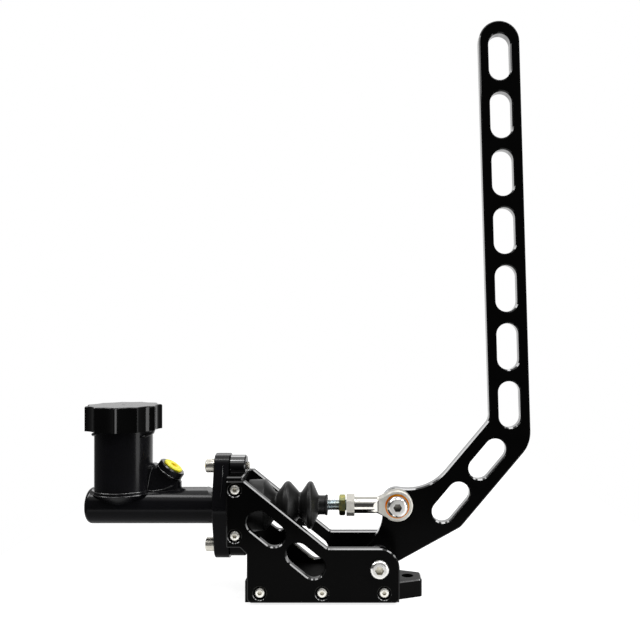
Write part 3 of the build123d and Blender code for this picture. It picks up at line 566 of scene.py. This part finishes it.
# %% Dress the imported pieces
dressing = {
    anodised_plate: ["side_plate_near", "side_plate_far"],
    anodised_lever: ["hand_lever"],
    anodised_block: ["base_block"],
    polished_block: ["cylinder_mount_block"],
    casting: ["cylinder_body"],
    cap_black: ["reservoir_cap"],
    plug_yellow: ["port_plug"],
    seal_rubber: ["cap_seal", "main_cup_seal", "end_seal", "valve_seal"],
    stainless: ["pivot_washer", "rod_end_washer", "rod_end_ball"],
    yellow_zinc: ["jam_nut"],
    ground_nickel: ["rod_end_body"],
    nickel: ["pivot_nut", "rod_end_nut"],
    bronze: ["rod_end_liner", "pivot_bush"],
    turned_aluminium: ["pivot_spacer_near", "pivot_spacer_far", "piston"],
    oiled_steel: ["stop_washer", "circlip", "valve_stem", "valve_spacer", "spring_retainer",
                  "return_spring"],
}
for finish, names in dressing.items():
    for name in names:
        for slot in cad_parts[name].material_slots:
            slot.material = finish
    print(finish.name, "on", ", ".join(names))

# %% [markdown]
# The boot, the fasteners and the threads are all skins over rows of rings. A ring is a list
# of points around an axis, and neighbouring rings are joined by quads. Sharp edges are
# marked by the angle between two faces, so that bevels stay crisp and round parts smooth.

# %% Skins over rings
around = 48
socket_rows = 2


def skin(name, rings, material, sharp=40, closed_loop=False, socket=None):
    """A mesh through rings with equal numbers of points; open ends are closed by a face.

    An edge sharper than that many degrees stays sharp. With socket, a second material, the
    first rows of quads are the inside of a socket.
    """
    count = len(rings[0])
    vertices = [point for ring in rings for point in ring]
    rows = len(rings) if closed_loop else len(rings) - 1
    faces = []
    for row in range(rows):
        below, above = row * count, (row + 1) % len(rings) * count
        for i in range(count):
            j = (i + 1) % count
            faces.append((below + i, below + j, above + j, above + i))
    if not closed_loop:
        faces.append(tuple(range(count))[::-1])
        faces.append(tuple(range((len(rings) - 1) * count, len(rings) * count)))
    mesh = bpy.data.meshes.new(name)
    mesh.from_pydata(vertices, [], faces)
    shaped = bmesh.new()
    shaped.from_mesh(mesh)
    bmesh.ops.recalc_face_normals(shaped, faces=shaped.faces)
    for face in shaped.faces:
        face.smooth = True
    for edge in shaped.edges:
        edge.smooth = edge.calc_face_angle(0) < radians(sharp)
    shaped.to_mesh(mesh)
    shaped.free()
    mesh.materials.append(material)
    if socket:
        mesh.materials.append(socket)
        for polygon in list(mesh.polygons)[:socket_rows * count]:
            polygon.material_index = 1
    piece = bpy.data.objects.new(name, mesh)
    bpy.context.scene.collection.objects.link(piece)
    return piece


print("a piece with a socket has", socket_rows, "rows of quads inside it")

# %% [markdown]
# Most rings here are round or six-sided. A ring is asked for by a function that gives the
# radius at any angle, so round bars, hexagons, knurls and threads all use the same ring. A
# ring that closes a surface keeps a tiny radius, so no face has two corners in one place.

# %% Rings of any outline
point_radius = 0.02


def ring(x, radius_at, count=around):
    """A ring about the X axis; radius_at gives the radius for an angle in radians."""
    angles = [2 * pi * i / count for i in range(count)]
    return [(x, radius_at(a) * cos(a), radius_at(a) * sin(a)) for a in angles]


def round_bar(radius):
    """The radius of a round bar, the same at any angle."""
    return lambda angle: radius


def hexagon(across_flats):
    """The radius of a hexagon at any angle."""
    return lambda angle: across_flats / 2 / cos((angle % (pi / 3)) - pi / 6)


print("rings have", around, "points, and a closed end has a radius of", point_radius)

# %% [markdown]
# A bellows is drawn as the real tool for its mould would be: straight flanks with small
# rounds at the crests and in the valleys. The two folds rise steeply on the cylinder's side
# and fall away more gently towards the rod. The neck ends in a bead that grips the rod. The
# inside follows the outside at the thickness of the rubber, and a slow ripple round the
# folds takes away the look of a turned part. The rod rises a little while the lever is
# pulled, and the bore of the neck leaves room for that.

# %% Boot profile
low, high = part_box("dust_boot")
boot_left, boot_right = low.x / MM, high.x / MM
collar_radius = (high.y - low.y) / 2 / MM
collar_length = 11.6
shoulder = 8.0
fold_pitch = 17.1
fold_rise = 7.5
valley_radius = 8.4
neck_radius = 6.9
neck_length = 5.0
bead_length = 1.6
bead_radius = 7.6
bead_round = 0.4
collar_round = 2.2
first_crest, first_round = 19.1, 3.2
second_crest, second_round = 19.6, 2.3
valley_round = 1.3
rubber_thickness = 1.5
collar_thickness = 2.4
inner_round = 1.0
inner_valley_round = 1.6
rod_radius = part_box("push_rod")[1].y / MM
rod_clearance = 1.35
neck_bore = rod_radius + rod_clearance


def rounded(corners, steps=6):
    """Points along a path of (x, radius, round) corners, with each corner turned into an arc."""
    path = []
    for i, (x, r, bend) in enumerate(corners):
        here = Vector((x, r))
        if bend == 0 or i in (0, len(corners) - 1):
            path.append(here)
            continue
        back = (Vector(corners[i - 1][:2]) - here).normalized()
        ahead = (Vector(corners[i + 1][:2]) - here).normalized()
        half = back.angle(ahead) / 2
        start, end = here + back * bend / tan(half), here + ahead * bend / tan(half)
        centre = here + (back + ahead).normalized() * bend / sin(half)
        sweep = (start - centre).angle_signed(end - centre)
        for k in range(steps + 1):
            turned = (start - centre).copy()
            turned.rotate(Matrix.Rotation(-sweep * k / steps, 2))
            path.append(centre + turned)
    return path


valley = boot_left + collar_length + shoulder
crests = [valley + fold_rise, valley + fold_pitch + fold_rise]
neck = boot_right - bead_length - neck_length
outside = rounded([
    (boot_left, collar_radius, 0),
    (boot_left + collar_length, collar_radius, collar_round),
    (valley, valley_radius, valley_round),
    (crests[0], first_crest, first_round),
    (valley + fold_pitch, valley_radius, valley_round),
    (crests[1], second_crest, second_round),
    (neck, neck_radius, valley_round),
    (boot_right - bead_length, neck_radius, 0.5),
    (boot_right - bead_length, bead_radius, bead_round),
    (boot_right, bead_radius - 0.3, bead_round),
    (boot_right, neck_bore, 0),
])
inside = rounded([
    (neck, neck_bore, 0),
    (crests[1], second_crest - 3.0 * rubber_thickness, inner_round),
    (valley + fold_pitch, valley_radius - rubber_thickness, inner_valley_round),
    (crests[0], first_crest - 2.6 * rubber_thickness, inner_round),
    (valley, valley_radius - rubber_thickness, inner_valley_round),
    (boot_left + collar_length - rubber_thickness, collar_radius - collar_thickness, inner_round),
    (boot_left, collar_radius - collar_thickness, 0),
])
print("boot profile:", len(outside), "points outside,", len(inside), "inside")

# %% [markdown]
# The mesh is turned from that profile. When the lever is pulled, the rod pushes the neck
# towards the cylinder and the folds close up; the mesh here is built at rest, with the collar
# on the cylinder and the neck on the rod, and stays in place.

# %% Boot
boot_around = 96
ripple = 0.12
ripple_waves = 3


def boot_ring(x, r):
    """One ring of the boot; the ripple grows from nothing at the neck to its full depth."""
    lively = ripple * (r - neck_radius) / (collar_radius - neck_radius) if r > neck_radius else 0
    points = []
    for i in range(boot_around):
        a = 2 * pi * i / boot_around
        out = r + lively * (sin(ripple_waves * a + x) - 1)
        points.append((x * MM, out * cos(a) * MM, out * sin(a) * MM + bore_z))
    return points


rings = [boot_ring(x, r) for x, r in outside + inside]
boot = skin("rubber_boot", rings, boot_rubber, sharp=70, closed_loop=True)
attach(boot, "frame")
boot.parent = None
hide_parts("dust_boot")
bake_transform(boot)
print("boot:", len(boot.data.polygons), "faces")

# %% [markdown]
# A screw thread is a groove that climbs one pitch for each turn. On a skin of rings it needs
# no boolean: the radius of each point depends on how far it is along the rod less its share
# of a turn, so the crests line up into a helix by themselves.

# %% Threads
thread_steps = 8
thread_depth = 0.61
crest_flat = 0.2


def thread_radius(major, pitch, x):
    """The radius of a thread at any angle, at a distance x along it."""
    depth = thread_depth * pitch

    def radius_at(angle):
        phase = (x / pitch - angle / (2 * pi)) % 1
        height = 1 - abs(2 * phase - 1)
        return major - depth * (1 - min(1.0, height / (1 - crest_flat)))
    return radius_at


def thread_rings(major, pitch, start, end, count=around):
    """Rings of a threaded length, with a bevelled lead at its far end."""
    stations = ceil((end - start) / pitch * thread_steps)
    root = major - thread_depth * pitch
    rings = []
    for k in range(stations + 1):
        x = start + (end - start) * k / stations
        lead = min(1.0, (end - x) / pitch)
        shape = thread_radius(major, pitch, x)
        rings.append(ring(x, lambda a, s=shape, f=lead: root + (s(a) - root) * f, count))
    return rings


def placed(rings, origin, direction):
    """Rings drawn along +X in millimetres, moved to an origin and turned to a direction."""
    turn = Vector((1, 0, 0)).rotation_difference(Vector(direction)).to_matrix()
    return [[Vector(origin) + turn @ (Vector(point) * MM) for point in ring] for ring in rings]


print("a thread has", thread_steps, "rings to a pitch and is", thread_depth, "of a pitch deep")

# %% [markdown]
# The push rod is zinc plated and threaded where the rod end screws on. Its plain front part
# ends in a ball tip that sits in the piston.

# %% Push rod
low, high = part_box("push_rod")
rod_length = (high.x - low.x) / MM
thread_length = 50.0
rod_pitch = 1.25
run_in, run_in_depth = 0.8, 0.7
thread_gap = 0.4
tip_steps = 6
tip = [ring(rod_radius * (1 - cos(t)), round_bar(max(point_radius, rod_radius * sin(t))))
       for t in (radians(90 * k / tip_steps) for k in range(tip_steps + 1))]
thread_foot = rod_length - thread_length
plain = [ring(thread_foot, round_bar(rod_radius)),
         ring(thread_foot + run_in, round_bar(rod_radius - run_in_depth))]
threaded = thread_rings(rod_radius, rod_pitch, thread_foot + run_in + thread_gap, rod_length)
rod = skin("threaded_push_rod", placed(tip + plain + threaded, (low.x, 0, bore_z), (1, 0, 0)),
           blue_zinc, sharp=50)
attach(rod, "pushrod")
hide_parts("push_rod")
print("push rod:", len(rod.data.polygons), "faces")

# %% [markdown]
# Button-head screws hold the plates and the two pivots. The head is a low dome with a small
# flat crown and a hexagon socket. One function draws the whole screw from its measures: the
# rings go from the bottom of the socket, over the crown and dome, and down the shank. The
# socket is a little narrower at its bottom and has a bevel at its mouth.

# %% Button-head screws
dome_steps = 8
floor_share = 0.96
thread_start = 0.05


def button_screw(diameter, head, height, length, socket, pitch, threaded):
    """Rings of a button-head screw along +X, with the underside of its head at x = 0."""
    drill_point = -height * 0.35
    socket_floor = -height * 0.42
    mouth_bevel = 0.04 * head
    mouth = socket * 1.08
    crown = max(head * 0.23, socket * 0.60)
    rim = height * 0.16
    rings = [ring(drill_point, round_bar(point_radius)),
             ring(socket_floor, hexagon(socket * floor_share)),
             ring(-height + mouth_bevel, hexagon(socket)),
             ring(-height, hexagon(mouth)),
             ring(-height, round_bar(crown))]
    for k in range(1, dome_steps + 1):
        t = radians(90 * k / dome_steps)
        rings.append(ring(-height + (height - rim) * (1 - cos(t)),
                          round_bar(crown + (head / 2 - crown) * sin(t) ** 0.9)))
    rings += [ring(-0.25 * rim, round_bar(head / 2)),
              ring(0, round_bar(head / 2 - 0.15 * rim)),
              ring(0, round_bar(diameter / 2)),
              ring(length - threaded, round_bar(diameter / 2))]
    return rings + thread_rings(diameter / 2, pitch, length - threaded + thread_start, length)


# Painted shade: the inside of each socket takes a darker steel than the head.
def fasten(name, rings, origin, direction, body, node, material, socket=grey_socket_shade):
    """Builds a fastener, puts it on its body and hides the plain one that it stands for."""
    piece = skin(name, placed(rings, origin, direction), material, sharp=35, socket=socket)
    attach(piece, body)
    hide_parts(node)


shank_width = 7.9
pivot_head = 4.4
pivot_socket = 5.0
pivot_pitch = 1.25
low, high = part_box("pivot_bolt")
under_head = (high.y - low.y) / MM - pivot_head
lever_screw = button_screw(shank_width, 14.0, pivot_head, under_head, pivot_socket, pivot_pitch, 12.0)
fasten("pivot_screw", lever_screw, (pivot.x, low.y + pivot_head * MM, pivot.z), (0, 1, 0),
       "frame", "pivot_bolt", pivot_steel)
low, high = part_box("rod_end_bolt")
under_head = (high.y - low.y) / MM - pivot_head
rod_end_screw = button_screw(shank_width, 15.4, pivot_head, under_head, pivot_socket, pivot_pitch, 14.0)
fasten("rod_end_screw", rod_end_screw, (ball.x, low.y + pivot_head * MM, ball.z), (0, 1, 0),
       "lever", "rod_end_bolt", rod_end_steel, socket=dark_socket_shade)
print("pivot screws:", len(lever_screw), "and", len(rod_end_screw), "rings")

# %% [markdown]
# The ten small screws of the plates are the same shape at half the size. Their places are
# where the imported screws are: three in a row along the foot, two above each other at the
# tail, on both plates.

# %% Plate screws
foot_pitch = 43.2 * MM
foot_height = 8.2 * MM
tail_spacing = 32.0 * MM
screw_head = 7.6
screw_head_height = 2.2
low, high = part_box("plate_screws_near")
foot_right = high.x - screw_head / 2 * MM
tail_x = low.x + screw_head / 2 * MM
places = [(foot_right - i * foot_pitch, foot_height) for i in range(3)]
places += [(tail_x, bore_z + side * tail_spacing / 2) for side in (-1, 1)]
small_screw = button_screw(4.0, screw_head, screw_head_height, 14.0, 2.5, 0.7, 10.0)
for plate, side in (("near", -1), ("far", 1)):
    low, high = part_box(f"plate_screws_{plate}")
    seat = (low.y if side < 0 else high.y) - side * screw_head_height * MM
    for i, (x, z) in enumerate(places):
        fasten(f"plate_screw_{plate}_{i + 1}", small_screw, (x, seat, z), (0, -side, 0),
               "frame", f"plate_screws_{plate}", screw_steel)
print("plate screws:", 2 * len(places))

# %% [markdown]
# Two socket-head bolts hold the cylinder. Their heads are knurled, a ring of fine teeth
# around a plain bevelled end, which shows as bright and dark lines.

# %% Flange bolts
knurls = 32
knurl_depth = 0.14


def knurled(radius):
    """The radius of a knurled bar, which dips once for every tooth."""
    return lambda angle: radius - knurl_depth * (0.5 - 0.5 * cos(knurls * angle))


def socket_bolt(diameter, head, height, length, socket, pitch, threaded):
    """Rings of a knurled socket-head bolt along +X, with the underside of its head at x = 0."""
    fine = 4 * knurls
    drill_point = -height * 0.40
    socket_floor = -height * 0.45
    mouth_bevel = 0.3
    mouth = socket * 1.06
    end_bevel = 0.6
    wide = head / 2
    outlines = [
        (drill_point, round_bar(point_radius)),
        (socket_floor, hexagon(socket * floor_share)),
        (-height + mouth_bevel, hexagon(socket)),
        (-height, hexagon(mouth)),
        (-height, round_bar(wide - end_bevel)),
        (-height + end_bevel * 0.7, round_bar(wide - 0.12)),
        (-height + 1.0, knurled(wide)),
        (-0.5, knurled(wide)),
        (-0.2, round_bar(wide - 0.25)),
        (0, round_bar(wide - 0.4)),
        (0, round_bar(diameter / 2)),
        (length - threaded, round_bar(diameter / 2)),
    ]
    rings = [ring(x, outline, fine) for x, outline in outlines]
    return rings + thread_rings(diameter / 2, pitch, length - threaded + thread_start, length, fine)


low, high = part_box("flange_bolts")
head_height, head_width = 7.0, 10.0
under_head = (high.x - low.x) / MM - head_height
bolt = socket_bolt(6.0, head_width, head_height, under_head, 5.0, 1.0, 9.0)
for name, z in (("lower", low.z + head_width / 2 * MM), ("upper", high.z - head_width / 2 * MM)):
    fasten(f"flange_bolt_{name}", bolt, (low.x + head_height * MM, 0, z), (1, 0, 0),
           "frame", "flange_bolts", zinc_plate)
print("flange bolts:", knurls, "teeth each")

# %% [markdown]
# The neck of the reservoir has a coarse two-start thread for the cap. Its lower ends run out
# below the cap, one to the left and one to the right, so they show as two short ridges that
# climb out of the wall. Each is a rounded bar along a helix that thins out at both ends.

# %% Thread ridges on the neck
neck_wall = 20.4
ridge_height = 1.6
ridge_half_width = 1.3
ridge_steps = 60
ridge_around = 12
ridge_tip = 0.02
taper = 9


def neck_ridge(first_angle, foot, lead, turn):
    """Rings of a ridge that starts at an angle and a height and climbs lead mm for a full turn."""
    rings = []
    for k in range(ridge_steps + 1):
        share = k / ridge_steps
        angle = radians(first_angle + turn * share)
        z = foot + lead * turn / 360 * share
        swell = max(ridge_tip, min(1.0, share * taper, (1 - share) * taper)) ** 0.5
        section = []
        for i in range(ridge_around):
            t = 2 * pi * i / ridge_around
            out = neck_wall + ridge_height * swell * cos(t)
            section.append(((reservoir_centre.x / MM + out * cos(angle)) * MM, out * sin(angle) * MM,
                            (z + ridge_half_width * swell * sin(t)) * MM))
        rings.append(section)
    return rings


ridges = {"right": neck_ridge(-40, 114.7, 12.7, 95), "left": neck_ridge(172, 114.2, 22.0, 60)}
for name, rings in ridges.items():
    ridge = skin(f"neck_thread_{name}", rings, casting, sharp=60)
    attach(ridge, "frame")
print("neck thread:", len(ridges), "ridges")

# %% [markdown]
# Where two shapes of a casting meet, the mould leaves a thin rounded bead, which catches the
# light as a fine line. A bead is a round bar along a path, half sunk into the casting. Its
# rings are set by a steady direction, one that the path never takes, so they don't twist.

# %% Bars and beads
bar_around = 10
point_slope = 5
point_share = 0.05


def bar(path, thickness, steady, closed=False, pointed=True):
    """Rings of a round bar along a path; open ends are drawn out to points, if pointed."""
    rings = []
    last = len(path) - 1
    for k, point in enumerate(path):
        if closed:
            along = path[(k + 1) % len(path)] - path[k - 1]
        else:
            along = path[min(k + 1, last)] - path[max(k - 1, 0)]
        side = along.cross(steady).normalized()
        up = side.cross(along).normalized()
        size = thickness / 2 * MM
        if pointed and not closed:
            size *= max(point_share, min(1.0, point_slope * k / last, point_slope * (1 - k / last)))
        turns = (2 * pi * i / bar_around for i in range(bar_around))
        rings.append([tuple(point + (side * cos(t) + up * sin(t)) * size) for t in turns])
    return rings


def bead(name, path, thickness, steady, closed=False):
    """A bead of the casting along a path."""
    piece = skin(name, bar(path, thickness, steady, closed), rubbed_bead, sharp=60,
                 closed_loop=closed)
    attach(piece, "frame")
    ends = [[round(v / MM, 1) for v in point] for point in (path[0], path[-1])]
    print(name, "from", ends[0], "to", ends[1])


print("a bar has", bar_around, "points round it")

# %% [markdown]
# Three beads are rings: two on the rim at the foot of the reservoir, one above the other, and
# one under the collar of the outlet, square to the outlet's axis.

# %% Ring beads
rim_radius = 21.3
rim_rises = {"low": 9.9, "high": 12.1}
collar_reach = 29.9
collar_half = 10.0
ring_bead = 0.8
circle_steps = 72
level_x, level_y, upright = Vector((1, 0, 0)), Vector((0, 1, 0)), Vector((0, 0, 1))
outlet_foot = Vector((-150.6 * MM, 0, bore_z))


def circle(centre, radius, first, second):
    """Points round a centre, in the plane of two directions."""
    turns = [2 * pi * k / circle_steps for k in range(circle_steps)]
    return [centre + (first * cos(a) + second * sin(a)) * (radius * MM) for a in turns]


for name, rise in rim_rises.items():
    centre = Vector((reservoir_centre.x, 0, bore_z + rise * MM))
    bead(f"rim_bead_{name}", circle(centre, rim_radius, level_x, level_y), ring_bead, upright, closed=True)
collar_centre = outlet_foot + outlet_lean * collar_reach * MM
collar_circle = circle(collar_centre, collar_half, outlet_lean.cross(level_y), level_y)
bead("collar_bead", collar_circle, ring_bead, outlet_lean, closed=True)

# %% [markdown]
# The other beads lie where the photograph shows them. A ray from the lens through a pixel
# finds its place on the casting, and a few pixels along each line give the path of its bead.

# %% Traced beads
cast_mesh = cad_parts["cylinder_body"].data
cast_surface = BVHTree.FromPolygons([vertex.co for vertex in cast_mesh.vertices],
                                    [tuple(polygon.vertices) for polygon in cast_mesh.polygons])
trace_steps = 6
traced_bead = 1.1
pixel_lines = {
    "web_side_bead": [(147.3, 489.5), (148.4, 482), (150.2, 473), (153, 465.5)],
    "web_foot_bead": [(147.5, 490), (153, 491.3), (163, 489.5), (170, 487), (175, 484.5)],
    "flange_seam_bead": [(222.5, 464), (222.3, 478), (221.6, 491), (219.5, 502)],
}


def seen_at(x, y):
    """The place on the casting that the camera shows at a pixel of the photograph."""
    ray = Vector(((x - vanishing_x) / lens_pixels, 1, (vanishing_y - y) / lens_pixels))
    return cast_surface.ray_cast(eye, ray.normalized())[0]


for name, pixels in pixel_lines.items():
    path = []
    for (x0, y0), (x1, y1) in zip(pixels, pixels[1:]):
        shares = [k / trace_steps for k in range(trace_steps)]
        path += [seen_at(x0 + (x1 - x0) * share, y0 + (y1 - y0) * share) for share in shares]
    bead(name, path, traced_bead, level_y)

# %% [markdown]
# The return spring inside the bore, which the piston comes towards, is drawn again as a bar
# along a helix. It starts at the cylinder and ends at the piston, and is built at rest and left
# in place.

# %% Return spring
spring_wire = 1.6
spring_turns = 7
steps_a_turn = 24
low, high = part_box("return_spring")
spring_radius = (high.y - low.y) / 2 - spring_wire / 2 * MM
spring_start, spring_end = low.x + spring_wire / 2 * MM, high.x - spring_wire / 2 * MM
coil_steps = spring_turns * steps_a_turn
coil = []
for k in range(coil_steps + 1):
    a = 2 * pi * k / steps_a_turn
    coil.append(Vector((spring_start + (spring_end - spring_start) * k / coil_steps,
                        spring_radius * sin(a), bore_z + spring_radius * cos(a))))
spring = skin("coil_spring", bar(coil, spring_wire, level_x, pointed=False), oiled_steel,
              sharp=60)
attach(spring, "frame")
spring.parent = None
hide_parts("return_spring")
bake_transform(spring)
print("spring:", spring_turns, "turns")
